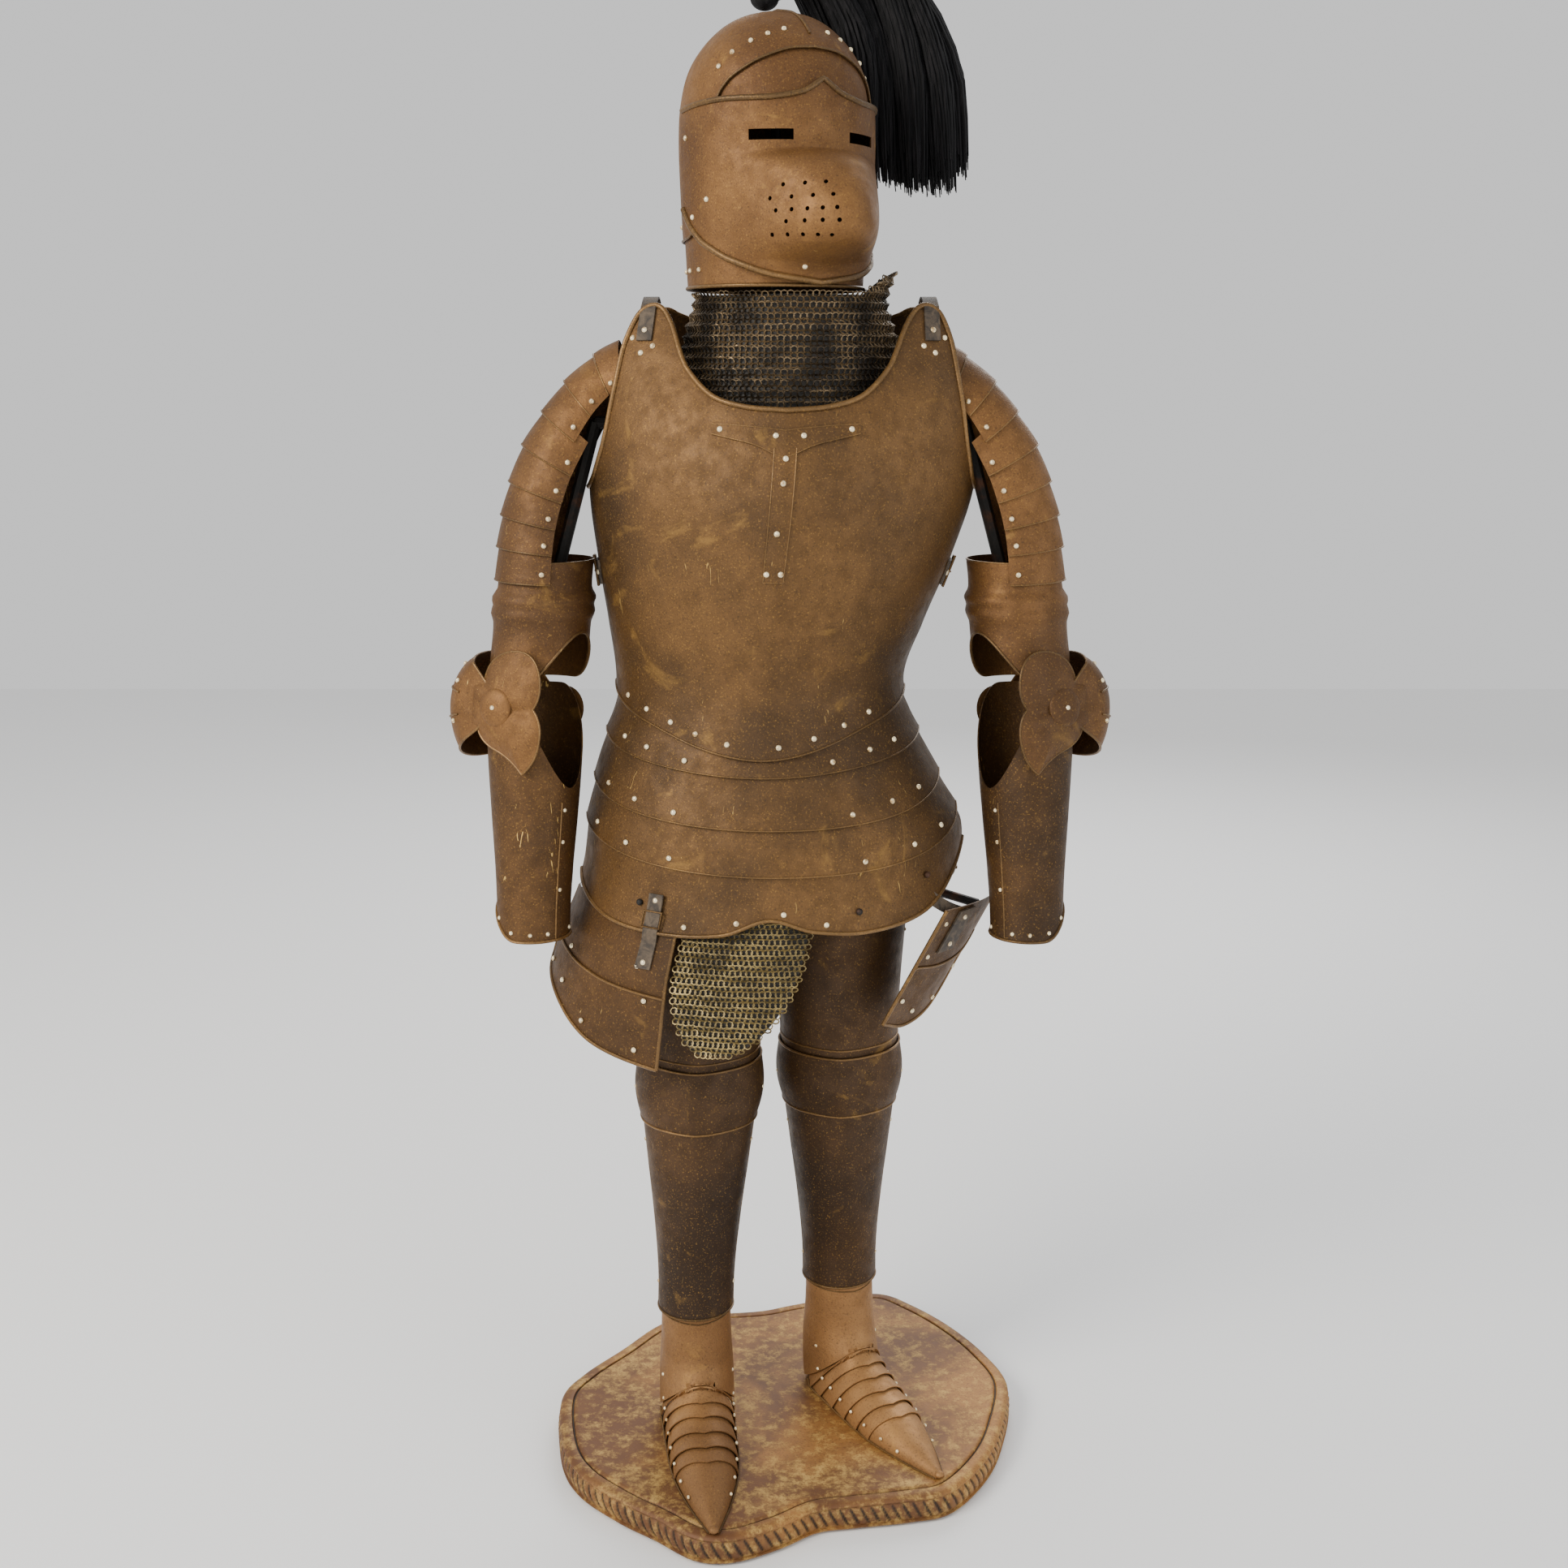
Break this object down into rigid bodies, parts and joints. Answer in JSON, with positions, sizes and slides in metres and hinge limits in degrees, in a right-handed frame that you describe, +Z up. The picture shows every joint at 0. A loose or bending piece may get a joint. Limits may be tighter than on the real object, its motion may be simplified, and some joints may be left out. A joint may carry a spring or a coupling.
{
  "type": "suit of armour on plinth",
  "caption": "Full suit of plate armour standing on a cloud-shaped plinth, with beaked visor, mail collar, flared skirt, tassets, pointed foot plates and a black plume.",
  "frame": {"origin": "point on the plinth's underside under the body's middle line", "axes": "+Z up, the front looks along -Y, +X is the wearer's left"},
  "size_m": [0.8494, 0.6068, 1.967],
  "materials": {
    "steel": "brown patina",
    "plinth": "satin brown",
    "mail": "dull",
    "strap": "worn",
    "plume": "matt",
    "iron": "black"
  },
  "bodies": {
    "figure": {"base_plinth": "plinth", "inner_frame": "iron", "sabaton_right_ankle": "steel", "sabaton_right_lames": "steel", "sabaton_right_toe": "steel", "sabaton_left_ankle": "steel", "sabaton_left_lames": "steel", "sabaton_left_toe": "steel", "greave_right": "steel", "cuisse_right": "steel", "knee_band_right": "steel", "greave_left": "steel", "cuisse_left": "steel", "knee_band_left": "steel", "breastplate": "steel", "backplate": "steel", "fauld_lame_1": "steel", "fauld_lame_2": "steel", "fauld_lame_3": "steel", "fauld_lame_4": "steel", "culet": "steel", "breast_strap": "steel", "tasset_right": "steel", "tasset_left": "steel", "spaudler_right_lame_1": "steel", "spaudler_right_lame_2": "steel", "spaudler_right_lame_3": "steel", "spaudler_right_lame_4": "steel", "spaudler_right_lame_5": "steel", "spaudler_right_lame_6": "steel", "spaudler_right_lame_7": "steel", "spaudler_right_lame_8": "steel", "spaudler_left_lame_1": "steel", "spaudler_left_lame_2": "steel", "spaudler_left_lame_3": "steel", "spaudler_left_lame_4": "steel", "spaudler_left_lame_5": "steel", "spaudler_left_lame_6": "steel", "spaudler_left_lame_7": "steel", "spaudler_left_lame_8": "steel", "upper_cannon_right": "steel", "upper_cannon_left": "steel", "couter_right": "steel", "couter_left": "steel", "helmet_skull": "steel", "helmet_brow": "steel", "helmet_neck_plate": "steel", "plume_socket": "steel", "side_strap_left": "strap", "side_strap_right": "strap", "shoulder_strap_right": "strap", "shoulder_strap_left": "strap", "tasset_strap_right": "strap", "tasset_strap_left": "strap", "mail_brayette": "mail", "mail_collar": "mail", "plume": "plume"},
    "visor": {"helmet_visor": "steel"},
    "forearm_right": {"vambrace_right": "steel"},
    "forearm_left": {"vambrace_left": "steel"}
  },
  "joints": [
    {"name": "visor_hinge", "type": "hinge", "parent": "figure", "child": "visor", "pos_m": [-0.01, -0.008, 1.738], "axis": [-0.891, -0.454, 0], "range_deg": [0, 40]},
    {"name": "elbow_right", "type": "hinge", "parent": "figure", "child": "forearm_right", "pos_m": [-0.318, -0.048, 1.01], "axis": [0.4938, 0.8554, -0.1564], "range_deg": [0, 25]},
    {"name": "elbow_left", "type": "hinge", "parent": "figure", "child": "forearm_left", "pos_m": [0.308, -0.048, 1.01], "axis": [0.4938, -0.8554, 0.1564], "range_deg": [0, 25]}
  ]
}
